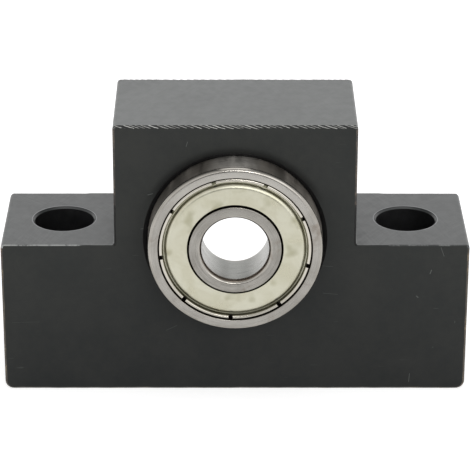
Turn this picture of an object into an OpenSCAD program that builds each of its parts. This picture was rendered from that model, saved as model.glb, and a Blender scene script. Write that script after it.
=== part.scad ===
// Support unit for the floating end of a ball screw: a T-shaped steel housing and one shielded
// deep-groove ball bearing that can slide along the plain bore.
// Millimetres. X runs along the feet, Y along the screw, Z up from the mounting face. The origin
// is on the mounting face, below the bore axis and half way through the housing.

/* [Housing] */
// Overall length of the housing, over both feet
housing_length = 70; // [62:0.5:100]
// Thickness of the housing along the screw
housing_depth = 20; // [12:0.5:40]
// Overall height of the housing
housing_height = 43; // [40:0.5:60]
// Width of the raised block that carries the bearing
block_width = 36; // [30:0.5:42]
// Height of the two feet
foot_height = 24; // [10:0.5:38]
// Height of the screw axis above the mounting face
centre_height = 25; // [16.5:0.5:28]
// Corner radius where the mounting face meets the ends
base_corner = 1.3; // [0.5:0.1:3]
// Corner radius along the upper edges of the feet and the block
top_corner = 0.6; // [0.5:0.1:2]
// Fillet that the cutter leaves where the block rises from a foot
root_fillet = 0.3; // [0.1:0.1:2]
// Chamfer filed along the front and rear edges
edge_chamfer = 0.3; // [0.1:0.05:0.4]
// How far short of the block the chamfer on a foot's edge stops
chamfer_stop = 4.5; // [0:0.5:8]
// Chamfer at each mouth of the bearing bore
bore_chamfer = 0.7; // [0.2:0.1:1.5]

/* [Mounting holes] */
// Distance between the two mounting holes
hole_spacing = 52; // [47:0.5:60]
// Diameter of a mounting hole
hole_diameter = 9; // [5:0.1:10]
// Chamfer at each mouth of a mounting hole
hole_chamfer = 0.3; // [0.1:0.05:1]

/* [Bearing] */
// Outer diameter of the bearing
bearing_od = 26; // [24:0.1:31.2]
// Bore of the bearing, which takes the end of the screw
bearing_bore = 10; // [8:0.1:12]
// Width of the bearing
bearing_width = 8; // [7.5:0.1:12]
// How far the bearing stands out of the housing's front face
bearing_proud = 4.2; // [0:0.1:6]
// Radial clearance between the bearing and the housing, a sliding fit
housing_fit = 0.02; // [0.01:0.005:0.05]
// Corner radius on the outside of the outer ring
outer_corner = 0.6; // [0.2:0.05:0.8]
// Width of the rounded corner at the mouths of the bearing's bore, measured across the face
inner_corner = 0.6; // [0.1:0.05:0.8]
// Length of the same corner, measured along the bore
inner_corner_length = 0.9; // [0.1:0.05:1.2]

/* [Balls and raceways] */
// Number of balls
ball_count = 7; // [5:1:8]
// Diameter of a ball
ball_diameter = 4.7625; // [3.95:0.0125:5.75]
// Radius of a raceway's section, for each millimetre of the ball's diameter
groove_conformity = 0.52; // [0.515:0.005:0.53]
// Radial clearance between a ball and each raceway
ball_clearance = 0.03; // [0.01:0.005:0.05]
// Height of a ring's shoulder above the bottom of its raceway
shoulder_height = 0.78; // [0.5:0.01:1]

/* [Cage] */
// Thickness of the cage's sheet
cage_sheet = 0.35; // [0.25:0.05:0.4]
// Width of the cage's ribbon, across the pitch circle
cage_ribbon = 2; // [1.2:0.1:2.2]
// Clearance between a ball and its pocket
pocket_clearance = 0.08; // [0.04:0.01:0.15]
// Diameter of a rivet's shank
rivet_diameter = 0.6; // [0.4:0.05:0.7]
// Diameter of a rivet's head
rivet_head = 1; // [0.8:0.05:1.1]
// Height of a rivet's head
rivet_head_height = 0.24; // [0.1:0.01:0.3]
// Radial clearance of a rivet in its hole
rivet_fit = 0.01; // [0.005:0.005:0.02]

/* [Shields] */
// Thickness of a shield's sheet
shield_sheet = 0.25; // [0.2:0.01:0.27]
// Depth of the shield's flat disc below the face of the rings
shield_inset = 0.25; // [0.1:0.01:0.35]
// Depth of the top of the curled rim below the face of the rings
bead_inset = 0.15; // [0.05:0.01:0.3]
// Depth of the recess that holds a shield
recess_depth = 1.15; // [1.05:0.01:1.3]
// Wall of the outer ring beside the recess
recess_wall = 1.54; // [1.4:0.01:1.8]
// Depth of the undercut that the curled rim hooks into
undercut_depth = 0.24; // [0.16:0.01:0.3]
// Wall of the inner ring beside its bore, under the edge of a shield
land_wall = 1.83; // [1.5:0.01:1.85]
// Running gap between a shield and the inner ring
shield_gap = 0.28; // [0.1:0.01:0.4]
// Gap between the curled rim and the mouth of its recess
bead_gap = 0.11; // [0.06:0.01:0.15]
// Number of notches in the curled rim
notch_count = 9; // [6:1:16]
// Width of a notch
notch_width = 0.65; // [0.3:0.05:1]
// Angle of the first notch, from +X and seen from the front
notch_start = 26.5; // [0:0.5:40]

/* [Hidden] */
$fn = 96;
cut = 1; // how far a cutter reaches past the surface that it opens
front_y = -housing_depth / 2;

// The bearing has a frame of its own: axis along Z, its middle at the origin, and +Z towards the
// front of the housing
bearing_y = front_y - bearing_proud + bearing_width / 2;
ring_half = bearing_width / 2;
outer_r = bearing_od / 2;
inner_r = bearing_bore / 2;
ball_r = ball_diameter / 2;
groove_radius = groove_conformity * ball_diameter;
pitch_r = (outer_r + inner_r) / 2;
inner_race = pitch_r - ball_r - ball_clearance;
outer_race = pitch_r + ball_r + ball_clearance;
inner_shoulder = inner_race + shoulder_height;
outer_shoulder = outer_race - shoulder_height;
ring_edge = 0.1; // edge break beside a shield
corner_steps = 6; // facets round a ring's corner

// Recess of the outer ring and land of the inner ring, where a shield sits
throat_r = outer_r - recess_wall;
throat_z = ring_half - 0.45;
recess_floor = ring_half - recess_depth;
land_r = inner_r + land_wall;
land_z = ring_half - 0.9;
land_slope = 0.3;

// Section of a shield, along the middle of its sheet: a lip hooked into the undercut, the curled
// bead, the valley behind it, the shoulder and the flat disc
lip_angle = 70; // slope of the lip
bead_angle = 80; // slope between the bead and the valley
wall_angle = 60; // slope between the valley and the disc
wall_run = 0.15; // straight length of that slope
bead_bend = shield_sheet / 2 + 0.035;
valley_bend = shield_sheet / 2 + 0.15;
valley_gap = 0.03; // between the valley and the floor of the recess
lip_gap = 0.13; // between the end of the lip and the floor of the recess
bead_top = ring_half - bead_inset - shield_sheet / 2;
disc_z = ring_half - shield_inset - shield_sheet / 2;
valley_z = recess_floor + valley_gap + shield_sheet / 2;
lip_z = recess_floor + lip_gap;

// The shoulder is one wide bend that takes up what is left of the height from valley to disc
shoulder_bend = (disc_z - valley_z - wall_run * sin(wall_angle)) / (1 - cos(wall_angle))
    - valley_bend;

// Straight runs that join the bends, the centres of the bends, the end of the lip, and how far in
// the notches reach
lip_run = (bead_top - lip_z - bead_bend * (1 - cos(lip_angle))) / sin(lip_angle);
bead_run = (bead_top - valley_z - (bead_bend + valley_bend) * (1 - cos(bead_angle)))
    / sin(bead_angle);
bead_centre = [throat_r - bead_gap - shield_sheet / 2 - bead_bend, bead_top - bead_bend];
valley_centre = bead_centre + (bead_bend + valley_bend) * polar(90 + bead_angle)
    + bead_run * polar(180 + bead_angle);
shoulder_centre = valley_centre + (valley_bend + shoulder_bend) * polar(270 - wall_angle)
    + wall_run * polar(180 - wall_angle);
lip_end = bead_centre + bead_bend * polar(90 - lip_angle) + lip_run * polar(-lip_angle);
notch_reach = bead_centre.x - bead_bend - shield_sheet / 2 - bead_run * cos(bead_angle);

// Cage
pocket_r = ball_r + pocket_clearance;

STEEL = [0.66, 0.65, 0.63];
CAGE_STEEL = [0.52, 0.52, 0.51];
BLACK_OXIDE = [0.2, 0.21, 0.21];
PASSIVATED = [0.8, 0.79, 0.68];

// ---- Helpers

// Unit vector at an angle
function polar(angle) = [cos(angle), sin(angle)];

// Points round an arc, from one angle to another
function arc(centre, radius, from, to, steps) =
    [for (i = [0:steps]) centre + radius * polar(from + (to - from) * i / steps)];

// Points round part of an oval, whose half axes are given as [across, along]
function oval_arc(centre, half, from, to, steps) = [
    for (i = [0:steps])
        let (p = polar(from + (to - from) * i / steps)) centre + [half.x * p.x, half.y * p.y]
];

// A list of points from last to first
function reversed(points) = [for (i = [len(points) - 1:-1:0]) points[i]];

// The upper half of a section, closed by its own reflection below the middle plane
function with_lower_half(points) = concat(points, [for (p = reversed(points)) [p.x, -p.y]]);

// Angle of a ball on the pitch circle, the first one at the top
function ball_angle(i) = 90 + (i - 1) * 360 / ball_count;

// Puts the bearing's own frame on the axis of the bore
module on_bearing_axis() {
    translate([0, bearing_y, centre_height]) rotate([90, 0, 0]) children();
}

module left_and_right() {
    children();
    mirror([1, 0, 0]) children();
}

module front_and_rear() {
    children();
    mirror([0, 1, 0]) children();
}

// Repeats what stands at +Z below the middle plane
module both_ends() {
    children();
    mirror([0, 0, 1]) children();
}

// ---- Housing

// What a corner radius takes off a square corner at the origin, with the metal towards +X and +Y
module corner_waste(radius) {
    difference() {
        translate([-cut, -cut]) square(radius + cut);
        translate([radius, radius]) circle(radius);
    }
}

// Fillet between a foot and the block, in the corner at the origin
module root_corner() {
    difference() {
        square(root_fillet);
        translate([root_fillet, root_fillet]) circle(root_fillet);
    }
}

// Outline of the T, seen from the front with its width along X and its height along Y
module housing_outline() {
    difference() {
        union() {
            translate([-housing_length / 2, 0]) square([housing_length, foot_height]);
            translate([-block_width / 2, 0]) square([block_width, housing_height]);
            left_and_right() translate([block_width / 2, foot_height]) root_corner();
        }
        left_and_right() {
            translate([-housing_length / 2, 0]) corner_waste(base_corner);
            translate([-housing_length / 2, foot_height]) mirror([0, 1]) corner_waste(top_corner);
            translate([-block_width / 2, housing_height]) mirror([0, 1]) corner_waste(top_corner);
        }
    }
}

// Cutter along +X from the origin, which chamfers an edge that lies on its axis
module chamfer_bar(length) {
    side = edge_chamfer * sqrt(2);
    rotate([45, 0, 0]) translate([0, -side / 2, -side / 2]) cube([length, side, side]);
}

// Cutter that carries the chamfer of the front face round a corner of the outline, whose arc has
// its centre at x, z and starts at an angle
module chamfer_round(x, z, radius, start) {
    past = edge_chamfer / 4;
    section = [
        [radius, -edge_chamfer],
        [radius + edge_chamfer, -edge_chamfer],
        [radius + edge_chamfer, past],
        [radius - edge_chamfer - past, past]
    ];
    translate([x, front_y, z]) rotate([90, 0, 0]) rotate(start) rotate_extrude(angle = 90)
        polygon(section);
}

// Chamfers round the front face: the long edges, and those of the right-hand side
module front_chamfers() {
    block = block_width / 2;
    foot = housing_length / 2;
    foot_start = block + chamfer_stop;
    translate([-foot - cut, front_y, 0]) chamfer_bar(housing_length + 2 * cut);
    translate([-block - cut, front_y, housing_height]) chamfer_bar(block_width + 2 * cut);
    left_and_right() {
        translate([foot_start, front_y, foot_height]) chamfer_bar(foot - foot_start + cut);
        translate([foot, front_y, -cut]) rotate([0, -90, 0]) chamfer_bar(foot_height + 2 * cut);
        translate([block, front_y, foot_height + root_fillet]) rotate([0, -90, 0])
            chamfer_bar(housing_height - foot_height - root_fillet + cut);
        chamfer_round(foot - base_corner, base_corner, base_corner, -90);
        chamfer_round(foot - top_corner, foot_height - top_corner, top_corner, 0);
        chamfer_round(block - top_corner, housing_height - top_corner, top_corner, 0);
    }
}

// Round hole with a chamfer at both mouths, its axis along Z and its middle at the origin
module chamfered_hole(radius, length, chamfer) {
    cylinder(r = radius, h = length + 2 * cut, center = true);
    both_ends() translate([0, 0, length / 2 - chamfer])
        cylinder(r1 = radius, r2 = radius + chamfer + cut, h = chamfer + cut);
}

// One milled steel block, blackened
module housing() {
    color(BLACK_OXIDE) difference() {
        rotate([90, 0, 0]) linear_extrude(housing_depth, center = true) housing_outline();
        front_and_rear() front_chamfers();
        translate([0, 0, centre_height]) rotate([90, 0, 0])
            chamfered_hole(outer_r + housing_fit, housing_depth, bore_chamfer);
        left_and_right() translate([hole_spacing / 2, 0, foot_height / 2])
            chamfered_hole(hole_diameter / 2, foot_height, hole_chamfer);
    }
}

// ---- Rings

// Outer ring: raceway in the middle, and at each face a recess whose undercut grips a shield
module outer_ring() {
    undercut_r = throat_r + undercut_depth;
    upper_half = concat(
        [
            [outer_shoulder, 0],
            [outer_shoulder, recess_floor],
            [undercut_r, recess_floor],
            [undercut_r, throat_z - undercut_depth],
            [throat_r, throat_z],
            [throat_r, ring_half - ring_edge],
            [throat_r + ring_edge, ring_half]
        ],
        arc([outer_r - outer_corner, ring_half - outer_corner], outer_corner, 90, 0, corner_steps)
    );
    color(STEEL) on_bearing_axis() rotate_extrude() difference() {
        polygon(with_lower_half(upper_half));
        translate([outer_race - groove_radius, 0]) circle(groove_radius);
    }
}

// Inner ring: raceway in the middle, and a lower land under the edge of each shield
module inner_ring() {
    corner = [inner_corner, inner_corner_length];
    corner_centre = [inner_r + inner_corner, ring_half - inner_corner_length];
    upper_half = concat(
        oval_arc(corner_centre, corner, 180, 90, corner_steps),
        [
            [land_r - ring_edge, ring_half],
            [land_r, ring_half - ring_edge],
            [land_r, land_z],
            [inner_shoulder, land_z - land_slope]
        ]
    );
    color(STEEL) on_bearing_axis() rotate_extrude() difference() {
        polygon(with_lower_half(upper_half));
        translate([inner_race + groove_radius, 0]) circle(groove_radius);
    }
}

// ---- Balls and cage

module ball(i) {
    color(STEEL) on_bearing_axis() rotate(ball_angle(i)) translate([pitch_r, 0, 0]) sphere(ball_r);
}

// A sphere of one radius round every ball
module ball_spheres(radius) {
    for (i = [1:ball_count]) rotate(ball_angle(i)) translate([pitch_r, 0, 0]) sphere(radius);
}

// One child half way between each ball and the next
module between_balls() {
    for (i = [1:ball_count])
        rotate(ball_angle(i + 0.5)) translate([pitch_r, 0, 0]) children();
}

// The ribbon's ring, standing on the middle plane of the bearing
module ribbon(height) {
    linear_extrude(height) difference() {
        circle(pitch_r + cage_ribbon / 2);
        circle(pitch_r - cage_ribbon / 2);
    }
}

// Front half of the cage: flat lands between the balls, and a dished pocket over each ball
module cage_half() {
    difference() {
        intersection() {
            ribbon(pocket_r + 2 * cage_sheet);
            union() {
                cylinder(r = outer_r, h = cage_sheet);
                ball_spheres(pocket_r + cage_sheet);
            }
        }
        ball_spheres(pocket_r);
        between_balls() cylinder(d = rivet_diameter + 2 * rivet_fit, h = 3 * cage_sheet, center = true);
    }
}

module cage_front() {
    color(CAGE_STEEL) on_bearing_axis() cage_half();
}

module cage_rear() {
    color(CAGE_STEEL) on_bearing_axis() mirror([0, 0, 1]) cage_half();
}

// Domed head of a rivet, standing on the origin
module rivet_cap() {
    dome = (pow(rivet_head / 2, 2) + pow(rivet_head_height, 2)) / (2 * rivet_head_height);
    rotate_extrude() intersection() {
        translate([0, rivet_head_height - dome]) circle(dome);
        square([rivet_head, rivet_head_height]);
    }
}

// Rivets that hold the two halves of the cage together
module cage_rivets() {
    color(STEEL) on_bearing_axis() between_balls() {
        cylinder(d = rivet_diameter, h = 2 * cage_sheet, center = true);
        both_ends() translate([0, 0, cage_sheet]) rivet_cap();
    }
}

// ---- Shields

// One surface of the bent sheet, from the lip to the disc: side is 1 for the face that shows and
// -1 for the face towards the balls
function sheet_face(side) =
    let (half = side * shield_sheet / 2)
    concat(
        [lip_end + half * polar(90 - lip_angle)],
        arc(bead_centre, bead_bend + half, 90 - lip_angle, 90 + bead_angle, 10),
        arc(valley_centre, valley_bend - half, bead_angle - 90, -90 - wall_angle, 10),
        arc(shoulder_centre, shoulder_bend + half, 90 - wall_angle, 90, 8),
        [[land_r + shield_gap, disc_z + half]]
    );

// Shield of pressed sheet for the front of the bearing. Notches right through its bead let the
// rim curl.
module shield() {
    difference() {
        rotate_extrude() polygon(concat(sheet_face(1), reversed(sheet_face(-1))));
        for (i = [0:notch_count - 1]) rotate(notch_start + i * 360 / notch_count)
            translate([notch_reach, -notch_width / 2, recess_floor])
                cube([recess_wall, notch_width, recess_depth]);
    }
}

module shield_front() {
    color(PASSIVATED) on_bearing_axis() shield();
}

module shield_rear() {
    color(PASSIVATED) on_bearing_axis() mirror([0, 0, 1]) shield();
}

// ---- The pieces

housing();
outer_ring();
inner_ring();
for (i = [1:ball_count]) ball(i);
cage_front();
cage_rear();
cage_rivets();
shield_front();
shield_rear();
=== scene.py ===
import math

import bpy
from mathutils import Matrix, Vector


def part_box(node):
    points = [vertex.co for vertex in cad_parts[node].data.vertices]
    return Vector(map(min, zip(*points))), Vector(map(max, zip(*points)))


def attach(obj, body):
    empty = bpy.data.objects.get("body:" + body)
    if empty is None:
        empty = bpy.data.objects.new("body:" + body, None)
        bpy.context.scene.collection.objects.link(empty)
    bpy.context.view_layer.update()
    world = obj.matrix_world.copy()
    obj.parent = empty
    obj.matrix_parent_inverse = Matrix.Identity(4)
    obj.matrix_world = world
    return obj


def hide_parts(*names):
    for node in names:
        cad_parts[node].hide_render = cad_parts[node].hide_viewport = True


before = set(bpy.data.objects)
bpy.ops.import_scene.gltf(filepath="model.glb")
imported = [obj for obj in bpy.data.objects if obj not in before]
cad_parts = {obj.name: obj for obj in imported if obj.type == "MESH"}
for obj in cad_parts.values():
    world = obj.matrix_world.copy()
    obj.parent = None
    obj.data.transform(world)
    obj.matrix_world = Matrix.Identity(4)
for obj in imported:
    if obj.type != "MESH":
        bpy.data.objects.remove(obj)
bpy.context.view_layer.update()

MM = 0.001


# ---- Housing
# One block of mild steel, sawn and milled to a T, bored for the bearing and drilled for two
# screws. Its long edges were chamfered by hand, which left chatter marks along the top one, and
# it was then blackened in a hot salt bath, so that the steel shows brown or bright where it wore.

_, housing_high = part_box("housing")
half_length = housing_high.x
half_depth = housing_high.y
block_half_width = 18 * MM
foot_top = 24 * MM
block_top = housing_high.z
base_corner = 1.3 * MM
top_corner = 0.6 * MM
root_fillet = 0.3 * MM
edge_chamfer = 0.3 * MM
chamfer_stop = 4.5 * MM
bore_centre = 25 * MM
bore_radius = 13.02 * MM
bore_chamfer = 0.7 * MM
hole_offset = 26 * MM
hole_radius = 4.5 * MM
hole_chamfer = 0.3 * MM


def rounded_outline(corners, spacing, arc_steps=7):
    """Points round a closed outline of right-angled corners, each point with its outward direction."""
    points = []
    for i, (corner, radius) in enumerate(corners):
        into = (corner - corners[i - 1][0]).normalized()
        out_of = (corners[(i + 1) % len(corners)][0] - corner).normalized()
        start = corner - into * radius
        turn = into.x * out_of.y - into.y * out_of.x
        if points:
            last = points[-1][0]
            stretch = start - last
            count = max(1, round(stretch.length / spacing))
            along = Vector((into.y, -into.x))
            points += [(last + stretch * k / count, along) for k in range(1, count)]
        centre = start + out_of * radius
        for k in range(arc_steps + 1):
            angle = math.pi / 2 * k / arc_steps
            spoke = into * math.sin(angle) - out_of * math.cos(angle)
            points.append((centre + spoke * radius, spoke * (1 if turn > 0 else -1)))
    last, first = points[-1][0], points[0][0]
    count = max(1, round((first - last).length / spacing))
    closing = (first - last).normalized()
    along = Vector((closing.y, -closing.x))
    points += [(last + (first - last) * k / count, along) for k in range(1, count)]
    return points


def saw(x):
    """A wave of cusps: 0 at each whole number, rising slowly and dropping fast."""
    x = x - math.floor(x)
    return x / 0.72 if x < 0.72 else (1 - x) / 0.28


def wander(x, seed):
    """A slow irregular wave between about -1 and 1."""
    return (math.sin(x + seed) + math.sin(2.3 * x + 1.7 * seed) + math.sin(5.1 * x + 2.9 * seed)) / 3


def housing_mesh():
    """The T with chamfered long edges, as rings of points from the front face to the rear one."""
    def corner(x, z, radius):
        return Vector((x, z)), radius

    corners = [
        corner(-half_length, 0, base_corner),
        corner(half_length, 0, base_corner),
        corner(half_length, foot_top, top_corner),
        corner(block_half_width, foot_top, root_fillet),
        corner(block_half_width, block_top, top_corner),
        corner(-block_half_width, block_top, top_corner),
        corner(-block_half_width, foot_top, root_fillet),
        corner(-half_length, foot_top, top_corner),
    ]
    outline = rounded_outline(corners, 0.16 * MM)
    rows = 6
    rings = []
    for side in (-1, 1):
        for row in range(rows + 1):
            t = row / rows if side < 0 else 1 - row / rows
            ring = []
            for point, outward in outline:
                on_block_top = point.y > block_top - 0.1 * MM
                on_foot_top = abs(point.y - foot_top) < 0.1 * MM and outward.y > 0.9
                size = edge_chamfer * (1 + 0.12 * wander(point.x / (3 * MM) + point.y / (2 * MM), 1 + side))
                relief = 0
                reach = 0
                if on_foot_top:
                    from_block = abs(point.x) - block_half_width - chamfer_stop
                    size *= 0.5 * min(1, max(0.12, 0.12 + from_block / (0.8 * MM)))
                if on_block_top:
                    pitch = 1.22 * MM * (1 + 0.1 * wander(point.x / (7 * MM), 5 + side))
                    strength = 0.75 + 0.45 * wander(point.x / (5 * MM), 9 + side)
                    cusp = saw(point.x / pitch - 1.05 * (1 - t))
                    relief = 0.1 * MM * cusp * strength
                    reach = 0.17 * MM * saw(point.x / pitch - (1.05 if t == 0 else 0)) * strength
                inset = (size + (reach if t == 0 else 0)) * (1 - t)
                depth = (size + (reach if t == 1 else 0)) * t
                if 0 < t < 1:
                    inset += relief * 0.7
                    depth += relief * 0.7
                place = point - outward * inset
                ring.append(Vector((place.x, side * (half_depth - depth), place.y)))
            rings.append(ring)
    vertices = [p for ring in rings for p in ring]
    n = len(outline)
    faces = [list(range(n)), [len(vertices) - 1 - k for k in range(n)]]
    for r in range(len(rings) - 1):
        for k in range(n):
            j = (k + 1) % n
            faces.append([r * n + k, (r + 1) * n + k, (r + 1) * n + j, r * n + j])
    mesh = bpy.data.meshes.new("housing_body")
    mesh.from_pydata(vertices, [], faces)
    mesh.update()
    return mesh


def lathe_mesh(name, section, steps, place):
    """A closed section of (radius, height) points, turned round the Z axis and then put in place."""
    vertices = []
    for k in range(steps):
        angle = 2 * math.pi * k / steps
        c, s = math.cos(angle), math.sin(angle)
        vertices += [place @ Vector((r * c, r * s, z)) for r, z in section]
    n = len(section)
    faces = []
    for k in range(steps):
        j = (k + 1) % steps
        for i in range(n):
            h = (i + 1) % n
            if section[i][0] == 0 and section[h][0] == 0:
                continue
            faces.append([k * n + i, j * n + i, j * n + h, k * n + h])
    mesh = bpy.data.meshes.new(name)
    mesh.from_pydata(vertices, [], faces)
    mesh.validate()
    mesh.update()
    return mesh


def new_piece(name, mesh):
    piece = bpy.data.objects.new(name, mesh)
    bpy.context.scene.collection.objects.link(piece)
    return piece


def drill(piece, radius, half_span, chamfer, place):
    """Cuts a round hole with a chamfer at both mouths."""
    over = 1 * MM
    wide = radius + chamfer + over
    end = half_span + over
    waist = half_span - chamfer
    section = [(wide, end), (radius, waist), (radius, -waist), (wide, -end)]
    steps = 192
    vertices = []
    for k in range(steps):
        angle = 2 * math.pi * k / steps
        vertices += [place @ Vector((r * math.cos(angle), r * math.sin(angle), z)) for r, z in section]
    faces = [[4 * k for k in range(steps)], [4 * k + 3 for k in reversed(range(steps))]]
    for k in range(steps):
        j = (k + 1) % steps
        faces += [[4 * k + i, 4 * k + i + 1, 4 * j + i + 1, 4 * j + i] for i in range(3)]
    mesh = bpy.data.meshes.new("drill")
    mesh.from_pydata(vertices, [], faces)
    cutter = new_piece("drill", mesh)
    cut = piece.modifiers.new("cut", "BOOLEAN")
    cut.operation = "DIFFERENCE"
    cut.solver = "EXACT"
    cut.object = cutter
    bpy.context.view_layer.update()
    finished = bpy.data.meshes.new_from_object(piece.evaluated_get(bpy.context.evaluated_depsgraph_get()))
    piece.modifiers.clear()
    piece.data = finished
    bpy.data.objects.remove(cutter)


def sharpen(piece, degrees):
    """Shades a piece smooth, with a crisp edge wherever two faces meet at more than an angle."""
    piece.data.shade_smooth()
    piece.data.set_sharp_from_angle(angle=math.radians(degrees))


housing = new_piece("housing_block", housing_mesh())
along_y = Matrix.Translation((0, 0, bore_centre)) @ Matrix.Rotation(math.pi / 2, 4, "X")
drill(housing, bore_radius, half_depth, bore_chamfer, along_y)
for side in (-1, 1):
    drill(housing, hole_radius, foot_top / 2, hole_chamfer,
          Matrix.Translation((side * hole_offset, 0, foot_top / 2)))
sharpen(housing, 24)


def shader(tree, kind, inputs=None, **settings):
    """Adds a node. Each input is a value, or the socket that feeds it."""
    node = tree.nodes.new("ShaderNode" + kind)
    for key, value in settings.items():
        setattr(node, key, value)
    for key, value in (inputs or {}).items():
        if isinstance(value, bpy.types.NodeSocket):
            tree.links.new(value, node.inputs[key])
        else:
            node.inputs[key].default_value = value
    return node


def new_material(name):
    """A material with an empty tree, and its Principled shader already joined to the output."""
    material = bpy.data.materials.new(name)
    material.use_nodes = True
    tree = material.node_tree
    tree.nodes.clear()
    principled = shader(tree, "BsdfPrincipled")
    shader(tree, "OutputMaterial", {"Surface": principled.outputs[0]})
    return material, tree, principled


def feed(tree, socket, target):
    tree.links.new(socket, target)


def noise(tree, where, scale, detail=3, roughness=0.5, **inputs):
    return shader(tree, "TexNoise",
                  {"Vector": where, "Scale": scale, "Detail": detail, "Roughness": roughness, **inputs},
                  ).outputs["Fac"]


def ramp(tree, value, low, high, to_low=0.0, to_high=1.0):
    """Maps a value smoothly from one range to another."""
    return shader(tree, "MapRange", {"Value": value, "From Min": low, "From Max": high,
                                     "To Min": to_low, "To Max": to_high},
                  interpolation_type="SMOOTHSTEP").outputs["Result"]


def mixed(tree, factor, first, second):
    """The first colour where the factor is 0, and the second where it is 1."""
    return shader(tree, "Mix", {0: factor, 6: first, 7: second}, data_type="RGBA").outputs[2]


def maths(tree, operation, first, second=0.0):
    return shader(tree, "Math", {0: first, 1: second}, operation=operation).outputs[0]


def paint(red, green, blue):
    """A display colour, 0 to 255, as the linear colour that a shader takes."""
    def linear(c):
        c /= 255
        return c / 12.92 if c <= 0.04045 else ((c + 0.055) / 1.055) ** 2.4
    return (linear(red), linear(green), linear(blue), 1)


def oxide_skin(tree, where, dark, light):
    """The uneven tone of a blackened surface, in clouds with finer mottling."""
    cloud = noise(tree, where, 95, 5, 0.6)
    mottle = noise(tree, where, 700, 4, 0.65)
    tone = maths(tree, "ADD", maths(tree, "MULTIPLY", cloud, 0.6), maths(tree, "MULTIPLY", mottle, 0.4))
    return mixed(tree, ramp(tree, tone, 0.34, 0.66), dark, light), mottle


def rough_skin(tree, principled, mottle, roughness, grain, where):
    feed(tree, ramp(tree, mottle, 0.3, 0.7, roughness - 0.06, roughness + 0.06),
         principled.inputs["Roughness"])
    bump = shader(tree, "Bump", {"Height": noise(tree, where, 2600, 3, 0.6), "Strength": grain,
                                 "Distance": 0.02 * MM})
    feed(tree, bump.outputs[0], principled.inputs["Normal"])


def scratch(tree, flat, start, end, width):
    """1 along a short scratch on the front face, given by its ends as (x, z) in millimetres."""
    start = Vector((start[0] * MM, 0, start[1] * MM))
    run = Vector((end[0] * MM, 0, end[1] * MM)) - start
    from_start = shader(tree, "VectorMath", {0: flat, 1: start}, operation="SUBTRACT").outputs[0]
    along = shader(tree, "VectorMath", {0: from_start, 1: run / run.length_squared},
                   operation="DOT_PRODUCT").outputs["Value"]
    along = shader(tree, "Clamp", {"Value": along}).outputs[0]
    nearest = shader(tree, "VectorMath", {0: run, 3: along}, operation="SCALE").outputs[0]
    away = shader(tree, "VectorMath", {0: from_start, 1: nearest}, operation="DISTANCE").outputs["Value"]
    return ramp(tree, away, width * MM, 0.3 * width * MM)


def ground_face(name):
    """The upright faces: a dark grey with painted light, darker low in the middle and lighter further up
    and towards the ends, painted shade above the bore, and a few pale specks and scratches from handling."""
    material, tree, principled = new_material(name)
    where = shader(tree, "TexCoord").outputs["Object"]
    low, _ = oxide_skin(tree, where, paint(38, 40, 40), paint(46, 47, 46))
    high, mottle = oxide_skin(tree, where, paint(49, 51, 50), paint(57, 58, 56))
    across, _, height = shader(tree, "SeparateXYZ", {0: where}).outputs
    # Painted light: the skin is darker low in the middle and lighter further up and towards the ends.
    outward = maths(tree, "MULTIPLY", maths(tree, "ABSOLUTE", across), 0.35)
    painted_light_by_height = ramp(tree, maths(tree, "ADD", height, outward), 8 * MM, 40 * MM)
    colour = mixed(tree, painted_light_by_height, low, high)
    rubbed_rows = shader(tree, "VectorMath", {0: where, 1: (0.12, 1, 1)}, operation="MULTIPLY").outputs[0]
    rows = ramp(tree, noise(tree, rubbed_rows, 2400, 2, 0.5), 0.66, 0.8, 0, 0.12)
    rows = maths(tree, "MULTIPLY", rows, ramp(tree, noise(tree, where, 120, 2, 0.5), 0.5, 0.62))
    cells = shader(tree, "TexVoronoi", {"Vector": where, "Scale": 330})
    speck = ramp(tree, cells.outputs["Distance"], 0.13, 0.05)
    chosen = shader(tree, "SeparateColor", {"Color": cells.outputs["Color"]}).outputs[0]
    to_the_right = ramp(tree, across, 16 * MM, 35 * MM, 1, 0.86)
    speck = maths(tree, "MULTIPLY", speck, maths(tree, "GREATER_THAN", chosen, to_the_right))
    marks = maths(tree, "MAXIMUM", maths(tree, "MULTIPLY", speck, 0.5), rows)
    flat = shader(tree, "VectorMath", {0: where, 1: (1, 0, 1)}, operation="MULTIPLY").outputs[0]
    for start, end, width, strength in (
            ((-12.9, 32.1), (-12.2, 32.3), 0.08, 0.3),
            ((-14.0, 26.6), (-13.6, 26.7), 0.07, 0.25),
            ((-7.2, 39.8), (-7.0, 40.5), 0.07, 0.25),
            ((30.7, 23.6), (31.2, 22.2), 0.05, 0.3),
            ((29.2, 19.3), (29.4, 19.9), 0.09, 0.3),
            ((27.3, 15.6), (27.5, 15.4), 0.12, 0.25),
            ((13.2, 16.1), (15.4, 15.9), 0.05, 0.12),
            ((13.0, 20.6), (14.6, 20.5), 0.04, 0.15),
            ((26.5, 1.2), (26.6, 2.6), 0.06, 0.25),
            ((-10.4, 9.9), (-8.8, 10.7), 0.05, 0.12),
            ((-33.6, 11.2), (-29.5, 11.3), 0.04, 0.08)):
        marks = maths(tree, "MAXIMUM", marks,
                      maths(tree, "MULTIPLY", scratch(tree, flat, start, end, width), strength))
    colour = mixed(tree, marks, colour, paint(150, 154, 150))
    # Painted shade: a dark band round the upper part of the bore's edge, fading out within about 1.4 mm.
    from_bore = shader(tree, "VectorMath", {0: flat, 1: (0, 0, bore_centre)},
                       operation="DISTANCE").outputs["Value"]
    painted_shade_above_bore = ramp(tree, from_bore, bore_radius + 0.6 * MM, bore_radius + 2 * MM, 0.75, 0)
    painted_shade_above_bore = maths(tree, "MULTIPLY", painted_shade_above_bore, ramp(tree, height, bore_centre + 5 * MM, bore_centre + 9 * MM))
    feed(tree, mixed(tree, painted_shade_above_bore, colour, paint(8, 8, 8)), principled.inputs["Base Color"])
    rough_skin(tree, principled, mottle, 0.46, 0.5, where)
    principled.inputs["Specular IOR Level"].default_value = 0.18
    return material


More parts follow.
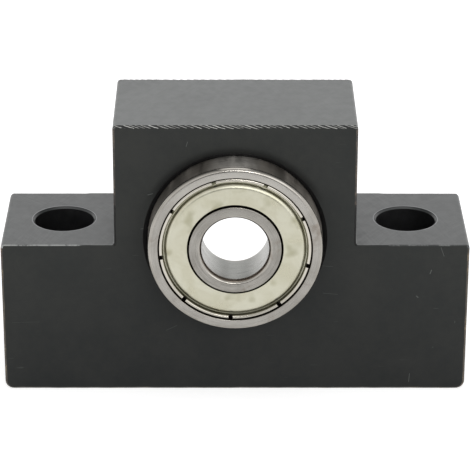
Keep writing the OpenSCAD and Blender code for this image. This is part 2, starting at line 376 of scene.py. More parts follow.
def milled_face(name):
    """The level faces: the same skin over the faint arcs of the cutter, and glossier."""
    material, tree, principled = new_material(name)
    where = shader(tree, "TexCoord").outputs["Object"]
    colour, _ = oxide_skin(tree, where, paint(55, 58, 58), paint(64, 67, 67))
    across, along, height = shader(tree, "SeparateXYZ", {0: where}).outputs
    # Painted light: the top of the block is lighter than the tops of the feet.
    on_block = ramp(tree, height, foot_top + 1 * MM, block_top - 1 * MM)
    painted_light_by_height, mottle = oxide_skin(tree, where, paint(78, 81, 80), paint(88, 91, 90))
    colour = mixed(tree, on_block, colour, painted_light_by_height)
    arcs = []
    for side in (-1, 1):
        cutter = (side * 75 * MM, -40 * MM, foot_top)
        reach = shader(tree, "VectorMath", {0: where, 1: cutter}, operation="DISTANCE").outputs["Value"]
        reach = maths(tree, "MULTIPLY", reach, 2600)
        arcs.append(shader(tree, "TexNoise", {"W": reach, "Scale": 1, "Detail": 2},
                           noise_dimensions="1D").outputs["Fac"])
    arcs = maths(tree, "MULTIPLY", maths(tree, "ADD", *arcs), 0.5)
    worn = ramp(tree, noise(tree, where, 160, 3, 0.6), 0.42, 0.6, 0.04, 0.22)
    faint = maths(tree, "MULTIPLY", ramp(tree, arcs, 0.38, 0.62), worn)
    colour = mixed(tree, faint, colour, paint(100, 103, 101))
    aside = maths(tree, "SUBTRACT", maths(tree, "ABSOLUTE", across), hole_offset)
    from_hole = shader(tree, "CombineXYZ", {0: aside, 1: along}).outputs[0]
    from_hole = shader(tree, "VectorMath", {0: from_hole}, operation="LENGTH").outputs["Value"]
    rim = hole_radius + hole_chamfer
    # Painted shade: a dark line round each hole's chamfer at its outer edge.
    painted_shade_rim_line = maths(tree, "MULTIPLY", ramp(tree, from_hole, rim + 0.03 * MM, rim),
                  ramp(tree, from_hole, rim - 0.14 * MM, rim - 0.04 * MM, 0.2, 0.95))
    colour = mixed(tree, painted_shade_rim_line, colour, paint(14, 14, 15))
    # Painted highlight: a pale ring on the face just outside each hole's chamfer.
    bright_rim = maths(tree, "MULTIPLY", ramp(tree, from_hole, rim + 0.2 * MM, rim + 0.08 * MM),
                   ramp(tree, from_hole, rim, rim + 0.03 * MM, 0, 0.8))
    feed(tree, mixed(tree, bright_rim, colour, paint(146, 148, 150)), principled.inputs["Base Color"])
    rough_skin(tree, principled, mottle, 0.34, 0.35, where)
    principled.inputs["Specular IOR Level"].default_value = 0.9
    return material


def drilled_wall(name):
    """The bore and the screw holes, black and a little rough from the drill."""
    material, tree, principled = new_material(name)
    where = shader(tree, "TexCoord").outputs["Object"]
    colour, mottle = oxide_skin(tree, where, paint(26, 26, 27), paint(36, 36, 37))
    feed(tree, colour, principled.inputs["Base Color"])
    rough_skin(tree, principled, mottle, 0.45, 0.6, where)
    principled.inputs["Specular IOR Level"].default_value = 0.3
    return material


def edge_wear_and_shade(name, dark, light, spread, level):
    """An edge mottled in patches between a dark and a paler colour. On the end and block edges handling
    has worn the oxide thin down to paler steel; on the block's edges beside the feet both colours are painted
    shade.
    """
    material, tree, principled = new_material(name)
    where = shader(tree, "TexCoord").outputs["Object"]
    patches = noise(tree, where, spread, 4, 0.7)
    flecks = noise(tree, where, 1900, 3, 0.7)
    pale_patches = maths(tree, "ADD", maths(tree, "MULTIPLY", patches, 0.6), maths(tree, "MULTIPLY", flecks, 0.4))
    pale_patches = ramp(tree, pale_patches, level, level + 0.14)
    feed(tree, mixed(tree, pale_patches, dark, light), principled.inputs["Base Color"])
    feed(tree, maths(tree, "MULTIPLY", pale_patches, 0.5), principled.inputs["Metallic"])
    rough_skin(tree, principled, flecks, 0.36, 0.8, where)
    return material


def chattered_edge(name):
    """The chamfer along the block: slanting bites of the file, dark in their pits and bright between."""
    material, tree, principled = new_material(name)
    where = shader(tree, "TexCoord").outputs["Object"]
    parts = shader(tree, "SeparateXYZ", {0: where})
    down = maths(tree, "SUBTRACT", block_top, parts.outputs[2])
    slid = maths(tree, "SUBTRACT", parts.outputs[0], maths(tree, "MULTIPLY", down, 4))
    sway = shader(tree, "TexNoise", {"W": slid, "Scale": 260, "Detail": 3},
                  noise_dimensions="1D").outputs["Fac"]
    phase = maths(tree, "ADD", maths(tree, "DIVIDE", slid, 1.02 * MM), maths(tree, "MULTIPLY", sway, 2.2))
    bite = maths(tree, "FRACT", phase)
    flecks = noise(tree, where, 2300, 3, 0.7)
    bite = maths(tree, "ADD", bite, maths(tree, "MULTIPLY", maths(tree, "SUBTRACT", flecks, 0.5), 0.4))
    pit = maths(tree, "MULTIPLY", ramp(tree, bite, 0, 0.1), ramp(tree, bite, 0.72, 0.55))
    crest = maths(tree, "MULTIPLY", ramp(tree, bite, 0.72, 0.8), ramp(tree, bite, 0.98, 0.88))
    colour = mixed(tree, crest, paint(58, 60, 59), paint(198, 198, 194))
    colour = mixed(tree, pit, colour, paint(9, 10, 10))
    feed(tree, colour, principled.inputs["Base Color"])
    feed(tree, maths(tree, "MULTIPLY", crest, 0.6), principled.inputs["Metallic"])
    rough_skin(tree, principled, flecks, 0.38, 0.8, where)
    return material


finishes = (
    ground_face("blackened_upright_face"),
    milled_face("blackened_level_face"),
    drilled_wall("blackened_bore"),
    edge_wear_and_shade("rubbed_end_edge", paint(68, 59, 47), paint(134, 120, 97), 420, 0.5),
    edge_wear_and_shade("bright_foot_edge", paint(80, 82, 82), paint(164, 166, 164), 300, 0.38),
    edge_wear_and_shade("dull_foot_edge", paint(62, 64, 64), paint(122, 124, 123), 300, 0.46),
    edge_wear_and_shade("rubbed_block_edge", paint(44, 40, 37), paint(104, 94, 84), 300, 0.46),
    chattered_edge("chattered_block_edge"),
    # Painted shade for the block's edges in the inside corners by the feet.
    edge_wear_and_shade("painted_shade_block_edge", paint(9, 9, 7), paint(22, 22, 19), 300, 0.46),
)
(upright, level_face, bored, end_edge, bright_edge, dull_edge, block_edge, chattered,
 painted_shade_edge) = range(len(finishes))
# Below this height the block's front edges beside the feet take painted shade.
painted_shade_height = 30.4 * MM
housing.data.materials.clear()
for finish in finishes:
    housing.data.materials.append(finish)
for face in housing.data.polygons:
    centre, normal = face.center, face.normal
    square_on = max(abs(normal.x), abs(normal.y), abs(normal.z)) > 0.99
    hole_distance = math.hypot(abs(centre.x) - hole_offset, centre.y)
    bore_distance = math.hypot(centre.x, centre.z - bore_centre)
    near_hole = hole_distance < hole_radius + 1.05 * hole_chamfer
    if bore_distance < bore_radius + bore_chamfer and abs(normal.y) < 0.9:
        face.material_index = bored
    elif near_hole and abs(normal.z) < 0.1:
        face.material_index = bored
    elif near_hole or normal.z > 0.99:
        face.material_index = level_face
    elif square_on:
        face.material_index = upright
    elif abs(normal.y) < 0.1:
        face.material_index = end_edge if centre.z < 2 * base_corner else level_face
    elif centre.z > block_top - 2 * edge_chamfer:
        face.material_index = chattered
    elif abs(centre.x) < block_half_width + edge_chamfer and centre.z > foot_top - edge_chamfer:
        face.material_index = block_edge if centre.z > painted_shade_height else painted_shade_edge
    # The front edges of the feet are paler in patches, the left one more than the right.
    elif abs(centre.z - foot_top) < 2 * edge_chamfer:
        face.material_index = bright_edge if centre.x < 0 else dull_edge
    else:
        face.material_index = end_edge
    face.use_smooth = not square_on
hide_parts("housing")
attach(housing, "housing_body")


# ---- Outer ring
# Bearing steel, turned, hardened and ground all over. Each face has a recess whose undercut grips
# the rim of a shield. It slides in the housing's bore, and nothing else holds it.

outer_low, outer_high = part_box("outer_ring")
bearing_middle = (outer_low.y + outer_high.y) / 2
ring_half = (outer_high.y - outer_low.y) / 2
outer_radius = (outer_high.z - outer_low.z) / 2
bore_of_ring = 5 * MM
ball_count = 7
ball_radius = 4.7625 / 2 * MM
ball_clearance = 0.03 * MM
groove_radius = 0.52 * 2 * ball_radius
shoulder_height = 0.78 * MM
outer_corner = 0.6 * MM
ring_edge = 0.1 * MM
recess_wall = 1.54 * MM
recess_depth = 1.15 * MM
undercut_depth = 0.24 * MM
throat_depth = 0.45 * MM
pitch_radius = (outer_radius + bore_of_ring) / 2
outer_race = pitch_radius + ball_radius + ball_clearance
throat = outer_radius - recess_wall
recess_floor = ring_half - recess_depth
ring_steps = 360
on_axis = Matrix.Translation((0, bearing_middle, bore_centre)) @ Matrix.Rotation(math.pi / 2, 4, "X")


def arc(centre, radius, start, end, steps):
    """Points of (radius, height) round an arc, from one angle to another in degrees."""
    angles = [math.radians(start + (end - start) * k / steps) for k in range(steps + 1)]
    return [(centre[0] + radius * math.cos(a), centre[1] + radius * math.sin(a)) for a in angles]


def raceway(groove_centre, shoulder, outward):
    """Half of a groove's section, from its shoulder down to the middle plane."""
    rise = math.degrees(math.acos(abs(shoulder - groove_centre) / groove_radius))
    if outward:
        return arc((groove_centre, 0), groove_radius, rise, 0, 10)
    return arc((groove_centre, 0), groove_radius, 180 - rise, 180, 10)


def both_halves(half):
    """A closed section from its front half, which starts and ends on the middle plane."""
    return half + [(r, -z) for r, z in reversed(half) if z > 1e-9]


outer_shoulder = outer_race - shoulder_height
outer_half = (
    list(reversed(raceway(outer_race - groove_radius, outer_shoulder, True)))
    + [(outer_shoulder, recess_floor), (throat + undercut_depth, recess_floor),
       (throat + undercut_depth, ring_half - throat_depth - undercut_depth),
       (throat, ring_half - throat_depth)]
    + arc((throat + ring_edge, ring_half - ring_edge), ring_edge, 180, 90, 4)
    + arc((outer_radius - outer_corner, ring_half - outer_corner), outer_corner, 90, 0, 10)
    + [(outer_radius, 0)]
)
outer_ring = new_piece("bearing_outer_ring",
                       lathe_mesh("outer_ring_body", both_halves(outer_half), ring_steps, on_axis))
sharpen(outer_ring, 24)


def bearing_place(tree):
    """Where a point lies: its position, its radius, its spoke as (x, z) and its place on the axis."""
    where = shader(tree, "TexCoord").outputs["Object"]
    from_middle = shader(tree, "VectorMath", {0: where, 1: (0, -bearing_middle, -bore_centre)},
                         operation="ADD").outputs[0]
    parts = shader(tree, "SeparateXYZ", {0: from_middle}).outputs
    flat = shader(tree, "CombineXYZ", {0: parts[0], 2: parts[2]}).outputs[0]
    radius = shader(tree, "VectorMath", {0: flat}, operation="LENGTH").outputs["Value"]
    spoke = shader(tree, "VectorMath", {0: flat}, operation="NORMALIZE").outputs[0]
    spoke = shader(tree, "SeparateXYZ", {0: spoke}).outputs
    return where, radius, (spoke[0], spoke[2]), parts[1]


def ground_steel(name, dark, light, roughness, lines):
    """Ground steel with fine rings of grinding marks round the bearing's axis, and faint stains."""
    material, tree, principled = new_material(name)
    where, radius, spoke, along = bearing_place(tree)
    ring_place = shader(tree, "CombineXYZ", {0: maths(tree, "MULTIPLY", spoke[0], 1.2),
                                             1: maths(tree, "MULTIPLY", along, 3200),
                                             2: maths(tree, "MULTIPLY", spoke[1], 1.2)}).outputs[0]
    marks = shader(tree, "TexNoise", {"Vector": ring_place, "W": maths(tree, "MULTIPLY", radius, 3200),
                                      "Scale": 1.6, "Detail": 3, "Roughness": 0.6},
                   noise_dimensions="4D").outputs["Fac"]
    cloud = noise(tree, where, 260, 4, 0.6)
    tone = maths(tree, "ADD", maths(tree, "MULTIPLY", marks, 0.55), maths(tree, "MULTIPLY", cloud, 0.45))
    colour = mixed(tree, ramp(tree, tone, 0.36, 0.64), dark, light)
    stain = ramp(tree, noise(tree, where, 330, 4, 0.6, Distortion=0.8), 0.52, 0.72, 0, 0.6)
    stain = maths(tree, "MULTIPLY", stain, ramp(tree, spoke[1], 0.3, 0.8, 1, 0.2))
    colour = mixed(tree, stain, colour, paint(128, 117, 106))
    feed(tree, colour, principled.inputs["Base Color"])
    feed(tree, ramp(tree, marks, 0.3, 0.7, roughness - 0.07, roughness + 0.07),
         principled.inputs["Roughness"])
    bump = shader(tree, "Bump", {"Height": marks, "Strength": lines, "Distance": 0.01 * MM})
    feed(tree, bump.outputs[0], principled.inputs["Normal"])
    feed(tree, shader(tree, "Tangent", direction_type="RADIAL", axis="Y").outputs[0],
         principled.inputs["Tangent"])
    principled.inputs["Metallic"].default_value = 1
    return material, tree, principled


def tint(tree, principled, amount, colour):
    """Lays a colour over a finish, by an amount from 0 to 1."""
    under = principled.inputs["Base Color"].links[0].from_socket
    feed(tree, mixed(tree, amount, under, colour), principled.inputs["Base Color"])


def ground_face_steel(name, dark, light, top):
    """The flat faces, with painted light making them lighter towards the top."""
    material, tree, principled = ground_steel(name, dark, light, 0.28, 0.5)
    tint(tree, principled, ramp(tree, bearing_place(tree)[2][1], 0.3, 0.95, 0, 0.45), top)
    principled.inputs["Anisotropic"].default_value = 0.5
    principled.inputs["Anisotropic Rotation"].default_value = 0.25
    return material


def tumbled_corner_steel(name):
    """The rounded corners, smoothed in a tumbling barrel, so that they catch sharp lines of light."""
    return ground_steel(name, paint(158, 154, 147), paint(184, 180, 173), 0.13, 0.12)[0]


def sliding_steel(name):
    """The outside of the bearing, streaked along the axis where it slides in the housing, and darker
    towards the sides with painted shade."""
    material, tree, principled = ground_steel(name, paint(172, 168, 162), paint(202, 199, 193), 0.42, 0.5)
    _, _, spoke, along = bearing_place(tree)
    streak_place = shader(tree, "CombineXYZ", {0: spoke[0], 1: maths(tree, "MULTIPLY", along, 12),
                                               2: spoke[1]}).outputs[0]
    streaks = noise(tree, streak_place, 7, 3, 0.5)
    # Painted shade: the band darkens towards the sides of the bearing.
    painted_shade_at_sides = ramp(tree, maths(tree, "ABSOLUTE", spoke[0]), 0.1, 0.35, 0, 0.75)
    tint(tree, principled, painted_shade_at_sides, paint(112, 106, 98))
    feed(tree, ramp(tree, streaks, 0.3, 0.7, 0.36, 0.52), principled.inputs["Roughness"])
    principled.inputs["Anisotropic"].default_value = 0.75
    principled.inputs["Anisotropic Rotation"].default_value = 0.25
    return material


def honed_steel(name):
    """The bore, brightest at its sides, under a film of oil that has run to its lowest part."""
    material, tree, principled = ground_steel(name, paint(180, 179, 175), paint(196, 195, 191), 0.3, 0.2)
    low = ramp(tree, bearing_place(tree)[2][1], -0.5, -0.98, 0, 0.75)
    tint(tree, principled, low, paint(144, 145, 141))
    return material


corner_finish = tumbled_corner_steel("tumbled_ring_corner")
outside_finish = sliding_steel("ground_ring_outside")
# The recesses are dark brown: old oil, and painted shade behind the shields.
recess_finish = ground_steel("oily_and_shaded_ring_recess", paint(34, 30, 24), paint(52, 46, 38), 0.4, 0.2)[0]
bore_finish = honed_steel("honed_ring_bore")
# The bore mouths are darker and browner than the other corners.
mouth_finish = ground_steel("brownish_bore_mouth", paint(150, 138, 127), paint(174, 163, 151), 0.3, 0.3)[0]


def finish_ring(ring, face_finish):
    """Gives a ring's flat faces, rounded corners, outside, bore, recesses and bore mouths their own
    finishes."""
    flat_face, corner, outside, bore, recess, mouth = range(6)
    for finish in (face_finish, corner_finish, outside_finish, bore_finish, recess_finish, mouth_finish):
        ring.data.materials.append(finish)
    for face in ring.data.polygons:
        distance = math.hypot(face.center.x, face.center.z - bore_centre)
        height = abs(face.center.y - bearing_middle)
        squareness = abs(face.normal.y)
        beside_shield = bore_of_ring + 1.7 * MM < distance < outer_radius - 1.2 * MM
        if beside_shield and recess_floor - 0.01 * MM < height < ring_half - 0.2 * MM:
            face.material_index = recess
        elif distance < bore_of_ring + 0.3 * MM and 0.05 < squareness < 0.65:
            face.material_index = mouth
        elif 0.05 < squareness < 0.98:
            face.material_index = corner
        elif distance > outer_radius - 0.1 * MM and squareness <= 0.05:
            face.material_index = outside
        elif distance < bore_of_ring + 0.1 * MM:
            face.material_index = bore
        else:
            face.material_index = flat_face


finish_ring(outer_ring, ground_face_steel("outer_ring_face", paint(156, 153, 147), paint(177, 174, 168),
                                          paint(200, 197, 191)))
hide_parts("outer_ring")
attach(outer_ring, "outer_body")


# ---- Inner ring
# The same ground bearing steel. The end of the screw is a sliding fit in its bore, and turns it.
# A lower land at each face leaves room for the edge of a shield.

inner_corner = 0.6 * MM
inner_corner_length = 0.9 * MM
land_wall = 1.83 * MM
land_depth = 0.9 * MM
land_slope = 0.3 * MM
land = bore_of_ring + land_wall
inner_race = pitch_radius - ball_radius - ball_clearance
inner_shoulder = inner_race + shoulder_height
inner_half = (
    [(bore_of_ring, 0)]
    + [(bore_of_ring + inner_corner * (1 + across), ring_half - inner_corner_length * (1 - along))
       for across, along in arc((0, 0), 1, 180, 90, 12)]
    + arc((land - ring_edge, ring_half - ring_edge), ring_edge, 90, 0, 4)
    + [(land, ring_half - land_depth), (inner_shoulder, ring_half - land_depth - land_slope)]
    + raceway(inner_race + groove_radius, inner_shoulder, False)
)
inner_ring = new_piece("bearing_inner_ring",
                       lathe_mesh("inner_ring_body", both_halves(inner_half), ring_steps, on_axis))
sharpen(inner_ring, 24)
finish_ring(inner_ring, ground_face_steel("inner_ring_face", paint(140, 137, 131), paint(170, 167, 161),
                                          paint(162, 159, 153)))
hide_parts("inner_ring")
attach(inner_ring, "inner_body")


# ---- Shields
# Thin steel sheet, pressed to a shallow dish and passivated to a pale yellow-green. The rim is
# curled into the outer ring's undercut, and nine notches let it curl. The inner edge runs free.

sheet_half = 0.125 * MM
shield_inset = 0.25 * MM
bead_inset = 0.15 * MM
bead_gap = 0.11 * MM
shield_gap = 0.28 * MM
valley_gap = 0.03 * MM
lip_gap = 0.13 * MM
notch_count = 9
notch_width = 0.65 * MM
notch_start = 26.5
lip_angle = 70
bead_angle = 80
wall_angle = 60
wall_run = 0.15 * MM
bead_bend = sheet_half + 0.035 * MM
valley_bend = sheet_half + 0.15 * MM


def shield_sections():
    """The two surfaces of the bent sheet, from the lip in the undercut to the inner edge."""
    def ray(degrees):
        return Vector((math.cos(math.radians(degrees)), math.sin(math.radians(degrees))))

    def drop(bend, degrees):
        return bend * (1 - math.cos(math.radians(degrees)))

    bead_top = ring_half - bead_inset - sheet_half
    disc = ring_half - shield_inset - sheet_half
    valley = recess_floor + valley_gap + sheet_half
    lip = recess_floor + lip_gap
    lip_run = (bead_top - lip - drop(bead_bend, lip_angle)) / math.sin(math.radians(lip_angle))
    bead_run = (bead_top - valley - drop(bead_bend + valley_bend, bead_angle)) \
        / math.sin(math.radians(bead_angle))
    wall_rise = wall_run * math.sin(math.radians(wall_angle))
    shoulder_bend = (disc - valley - wall_rise) / drop(1, wall_angle) - valley_bend
    bead = Vector((throat - bead_gap - sheet_half - bead_bend, bead_top - bead_bend))
    dip = bead + (bead_bend + valley_bend) * ray(90 + bead_angle) + bead_run * ray(180 + bead_angle)
    shoulder = dip + (valley_bend + shoulder_bend) * ray(270 - wall_angle) + wall_run * ray(180 - wall_angle)
    lip_end = bead + bead_bend * ray(90 - lip_angle) + lip_run * ray(-lip_angle)

    def surface(half):
        edge = lip_end + half * ray(90 - lip_angle)
        inner_edge = land + shield_gap
        start = shoulder.x
        disc_rings = [(start + (inner_edge - start) * k / 12, disc + half) for k in range(1, 13)]
        return (
            [tuple(edge)]
            + arc(bead, bead_bend + half, 90 - lip_angle, 90 + bead_angle, 12)
            + arc(dip, valley_bend - half, bead_angle - 90, -90 - wall_angle, 12)
            + arc(shoulder, shoulder_bend + half, 90 - wall_angle, 90, 16)
            + disc_rings
        )
    notch_reach = bead.x - bead_bend - sheet_half - bead_run * math.cos(math.radians(bead_angle))
    return surface(sheet_half), surface(-sheet_half), notch_reach


def shield_mesh(name, place):
    """The sheet as a ring of small blocks. A block is left out where a notch cuts the rim."""
    shown, hidden, notch_reach = shield_sections()
    pitch = 360 / notch_count
    notch_half = math.degrees(notch_width / 2 / (notch_reach + bead_bend))
    cuts = 4
    fine = [-notch_half + 2 * notch_half * k / cuts for k in range(cuts)]
    coarse_count = 44
    coarse = [notch_half + (pitch - 2 * notch_half) * k / coarse_count for k in range(coarse_count)]
    angles = [(notch_start + i * pitch + a, a < notch_half - 1e-6) for i in range(notch_count)
              for a in fine + coarse]
    vertices = []
    for angle, _ in angles:
        c, s = math.cos(math.radians(angle)), math.sin(math.radians(angle))
        vertices += [place @ Vector((r * c, r * s, z)) for r, z in shown + hidden]
    n = len(shown)
    total = len(angles)

    def present(k, i):
        if not 0 <= i < n - 1:
            return False
        return not (angles[k % total][1] and (shown[i][0] + shown[i + 1][0]) / 2 > notch_reach)

    faces = []
    for k in range(total):
        here, there = k * 2 * n, (k + 1) % total * 2 * n
        for i in range(n - 1):
            if not present(k, i):
                continue
            faces.append([here + i, here + i + 1, there + i + 1, there + i])
            faces.append([here + n + i, there + n + i, there + n + i + 1, here + n + i + 1])
            if not present(k - 1, i):
                faces.append([here + i, here + n + i, here + n + i + 1, here + i + 1])
            if not present(k + 1, i):
                faces.append([there + i, there + i + 1, there + n + i + 1, there + n + i])
            if not present(k, i - 1):
                faces.append([here + i, there + i, there + n + i, here + n + i])
            if not present(k, i + 1):
                faces.append([here + i + 1, here + n + i + 1, there + n + i + 1, there + i + 1])
    mesh = bpy.data.meshes.new(name)
    mesh.from_pydata(vertices, [], faces)
    mesh.update()
    return mesh


def passivated_sheet(name):
    """Bright pressed steel under a thin pale yellow-green film, stained. The film is worn off the curled rim.
    Painted shade darkens the rim's inner wall and its outer side by the ring, the valley behind the rim, most
    in its lower part, and the sheet's inner edge."""
    material, tree, principled = new_material(name)
    where, radius, spoke, along = bearing_place(tree)
    cloud = noise(tree, where, 210, 5, 0.6, Distortion=0.6)
    stain = noise(tree, where, 400, 1.5, 0.4)
    colour = mixed(tree, ramp(tree, cloud, 0.35, 0.65), paint(198, 195, 174), paint(212, 210, 192))
    colour = mixed(tree, ramp(tree, stain, 0.58, 0.8, 0, 0.6), colour, paint(156, 153, 122))
    depth = maths(tree, "SUBTRACT", ring_half, maths(tree, "ABSOLUTE", along))
    rim = ramp(tree, radius, 10.6 * MM, 10.7 * MM)
    bright_rim = maths(tree, "MULTIPLY", rim, ramp(tree, depth, 0.42 * MM, 0.3 * MM))
    colour = mixed(tree, bright_rim, colour, paint(218, 213, 202))
    # Painted shade on the rim's inner wall and on its outer side, in the gap by the ring.
    painted_shade_under_rim = maths(tree, "MULTIPLY", rim, ramp(tree, depth, 0.3 * MM, 0.42 * MM))
    painted_shade_outer_side = ramp(tree, radius, throat - bead_gap - 0.05 * MM, throat - bead_gap - 0.01 * MM)
    painted_shade_under_rim = maths(tree, "MAXIMUM", painted_shade_under_rim, painted_shade_outer_side)
    # Painted shade in the valley behind the rim, darkest at the bottom of the bearing.
    painted_shade_in_valley = maths(tree, "MULTIPLY", ramp(tree, radius, 10 * MM, 10.3 * MM),
                    ramp(tree, depth, 0.35 * MM, 0.8 * MM, 0.45, 1))
    painted_shade_in_valley = maths(tree, "MULTIPLY", painted_shade_in_valley, ramp(tree, spoke[1], -0.2, -0.8, 0.2, 0.66))
    colour = mixed(tree, maths(tree, "MAXIMUM", maths(tree, "MULTIPLY", painted_shade_under_rim, 0.8), painted_shade_in_valley),
                   colour, paint(62, 60, 42))
    # Painted shade along the sheet's inner edge, in the gap by the inner ring.
    painted_shade_inner_edge = ramp(tree, radius, land + shield_gap + 0.06 * MM, land + shield_gap + 0.02 * MM)
    colour = mixed(tree, painted_shade_inner_edge, colour, paint(60, 56, 40))
    feed(tree, colour, principled.inputs["Base Color"])
    polish = ramp(tree, cloud, 0.3, 0.7, 0.26, 0.38)
    polish = maths(tree, "ADD", polish, maths(tree, "MULTIPLY", painted_shade_in_valley, 0.3))
    feed(tree, maths(tree, "SUBTRACT", polish, maths(tree, "MULTIPLY", bright_rim, 0.32)),
         principled.inputs["Roughness"])
    height = noise(tree, where, 900, 4, 0.6)
    bump = shader(tree, "Bump", {"Height": height, "Strength": 0.35, "Distance": 0.02 * MM})
    feed(tree, bump.outputs[0], principled.inputs["Normal"])
    principled.inputs["Metallic"].default_value = 1
    return material


shield_finish = passivated_sheet("passivated_shield_sheet")
for end, place in (("front", on_axis), ("rear", on_axis @ Matrix.Diagonal((1, 1, -1, 1)))):
    shield = new_piece("bearing_shield_" + end, shield_mesh("shield_body_" + end, place))
    if end == "rear":
        shield.data.flip_normals()
    sharpen(shield, 30)
    shield.data.materials.append(shield_finish)
    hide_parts("shield_" + end)
    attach(shield, "outer_body")


# ---- Balls
# Seven balls of bearing steel, lapped and polished to a mirror. They run in the raceways behind
# the shields, and the cage keeps them apart.

def polished_steel(name):
    material, tree, principled = new_material(name)
    where = shader(tree, "TexCoord").outputs["Object"]
    haze = noise(tree, where, 900, 4, 0.6)
    feed(tree, mixed(tree, ramp(tree, haze, 0.35, 0.65), paint(205, 205, 205), paint(222, 222, 220)),
         principled.inputs["Base Color"])
    feed(tree, ramp(tree, haze, 0.3, 0.7, 0.05, 0.12), principled.inputs["Roughness"])
    principled.inputs["Metallic"].default_value = 1
    return material


def refinish(node, material):
    """Gives a CAD node another material."""
    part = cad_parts[node]
    for place in part.material_slots:
        place.material = material


lapped = polished_steel("lapped_ball_steel")
for number in range(1, ball_count + 1):
    refinish(f"ball_{number}", lapped)


# ---- Cage
# Two ribbons of soft steel sheet, pressed into seven pockets and riveted together between the
# balls. The rivets are steel wire, headed at both ends.

def pressed_sheet(name, dark, light, roughness):
    material, tree, principled = new_material(name)
    where = shader(tree, "TexCoord").outputs["Object"]
    cloud = noise(tree, where, 600, 5, 0.65)
    feed(tree, mixed(tree, ramp(tree, cloud, 0.35, 0.65), dark, light), principled.inputs["Base Color"])
    feed(tree, ramp(tree, cloud, 0.3, 0.7, roughness - 0.06, roughness + 0.08),
         principled.inputs["Roughness"])
    height = noise(tree, where, 4200, 3, 0.6)
    bump = shader(tree, "Bump", {"Height": height, "Strength": 0.4, "Distance": 0.01 * MM})
    feed(tree, bump.outputs[0], principled.inputs["Normal"])
    principled.inputs["Metallic"].default_value = 1
    return material


cage_sheet = pressed_sheet("pressed_cage_sheet", paint(128, 127, 124), paint(158, 157, 153), 0.36)
rivet_wire = pressed_sheet("headed_rivet_wire", paint(150, 149, 146), paint(184, 183, 180), 0.28)
refinish("cage_front", cage_sheet)
refinish("cage_rear", cage_sheet)
refinish("cage_rivets", rivet_wire)


# ---- Studio
# A pale floor under a white surround with a darker front wall, lit by broad soft lamps. What the
# camera sees straight on stays white, whatever the lamps do.

def seen_directly(tree):
    """1 for a ray that comes from the camera or through a clear thing, and 0 for the rest."""
    path = shader(tree, "LightPath")
    return maths(tree, "MAXIMUM", path.outputs["Is Camera Ray"], path.outputs["Is Transmission Ray"])


def studio_floor():
    size = 1.5
    front = -0.2
    mesh = bpy.data.meshes.new("floor_sheet")
    mesh.from_pydata([(-size, front, 0), (size, front, 0), (size, size, 0), (-size, size, 0)], [],
                     [(0, 1, 2, 3)])
    floor = new_piece("studio_floor", mesh)
    material = bpy.data.materials.new("pale_floor")
    material.use_nodes = True
    tree = material.node_tree
    tree.nodes.clear()
    matt = shader(tree, "BsdfDiffuse", {"Color": (0.8, 0.8, 0.8, 1)})
    path = shader(tree, "LightPath")
    seen = maths(tree, "MAXIMUM", seen_directly(tree), path.outputs["Is Glossy Ray"])
    level = ramp(tree, seen_directly(tree), 0, 1, 0.34, 0.6)
    glow = shader(tree, "Emission", {"Color": (1, 1, 1, 1), "Strength": maths(tree, "MULTIPLY", seen, level)})
    both = shader(tree, "AddShader", {0: matt.outputs[0], 1: glow.outputs[0]})
    shader(tree, "OutputMaterial", {"Surface": both.outputs[0]})
    mesh.materials.append(material)


def lamp(name, place, aim, size, power):
    light = bpy.data.lights.new(name, "AREA")
    light.shape = "RECTANGLE"
    light.size, light.size_y = size
    light.energy = power
    holder = bpy.data.objects.new(name, light)
    bpy.context.scene.collection.objects.link(holder)
    holder.location = place
    holder.rotation_euler = (Vector(aim) - Vector(place)).to_track_quat("-Z", "Y").to_euler()


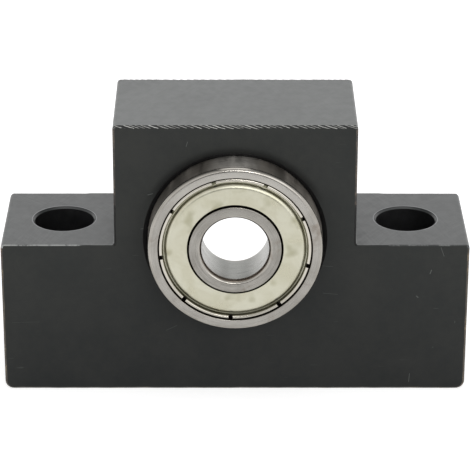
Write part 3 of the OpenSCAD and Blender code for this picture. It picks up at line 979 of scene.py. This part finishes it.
def white_surround(front, overhead, on_matt):
    """Lights the object from all round. In reflections it is white behind and at the sides, greyer
    overhead and dim in front."""
    world = bpy.data.worlds.new("white_surround")
    bpy.context.scene.world = world
    world.use_nodes = True
    tree = world.node_tree
    tree.nodes.clear()
    direction = shader(tree, "SeparateXYZ", {0: shader(tree, "TexCoord").outputs["Generated"]})
    lean = maths(tree, "MULTIPLY", direction.outputs[1], 0.7)
    aside = maths(tree, "MULTIPLY", maths(tree, "ABSOLUTE", direction.outputs[0]), 1.1)
    shade = maths(tree, "ADD", direction.outputs[2], maths(tree, "ADD", lean, aside))
    shade = ramp(tree, shade, -0.45, -0.2, front, 1)
    glossy = shader(tree, "LightPath").outputs["Is Glossy Ray"]
    beside = ramp(tree, maths(tree, "ABSOLUTE", direction.outputs[0]), 0.1, 0.3, 0, 0.5)
    beside = maths(tree, "MULTIPLY", beside, ramp(tree, direction.outputs[2], 0.25, 0.5))
    beside = maths(tree, "MULTIPLY", beside, ramp(tree, direction.outputs[1], -0.4, 0.1))
    reflected = maths(tree, "SUBTRACT", ramp(tree, direction.outputs[2], 0.45, 0.85, 1, overhead), beside)
    level = shader(tree, "MapRange",
                   {"Value": glossy, "To Min": on_matt, "To Max": reflected}).outputs["Result"]
    strength = maths(tree, "MAXIMUM", seen_directly(tree), maths(tree, "MULTIPLY", shade, level))
    surround = shader(tree, "Background", {"Color": (1, 1, 1, 1), "Strength": strength})
    shader(tree, "OutputWorld", {"Surface": surround.outputs[0]})


studio_floor()
middle = (0, 0, 0.02)
lamp("overhead_softbox", (0, 0.2, 0.75), middle, (0.36, 0.9), 0.7)
lamp("front_softbox", (0.28, -0.55, 0.33), middle, (0.65, 0.33), 0.7)
lamp("front_strip", (0.05, -0.6, 0.34), middle, (0.25, 0.03), 0.25)
white_surround(0.1, 0.65, 0.72)

camera_azimuth = math.radians(0.22)
camera_elevation = math.radians(23.71)
camera_roll = math.radians(0.1)
camera_distance = 380.5 * MM
camera_aim = Vector((-0.021, -10.05, 25.66)) * MM
forward = Vector((math.sin(camera_azimuth) * math.cos(camera_elevation),
                  math.cos(camera_azimuth) * math.cos(camera_elevation), -math.sin(camera_elevation)))
level = Vector((math.cos(camera_azimuth), -math.sin(camera_azimuth), 0))
plumb = level.cross(forward)
right = level * math.cos(camera_roll) + plumb * math.sin(camera_roll)
up = plumb * math.cos(camera_roll) - level * math.sin(camera_roll)
camera = bpy.data.objects.new("camera", bpy.data.cameras.new("camera"))
bpy.context.scene.collection.objects.link(camera)
camera.data.sensor_width = 36
camera.data.lens = 196.0
camera.data.clip_start = 0.01
camera.data.clip_end = 10
turn = Matrix((right, up, -forward)).transposed().to_4x4()
camera.matrix_world = Matrix.Translation(camera_aim - forward * camera_distance) @ turn
bpy.context.scene.camera = camera
bpy.context.scene.view_settings.view_transform = "Standard"
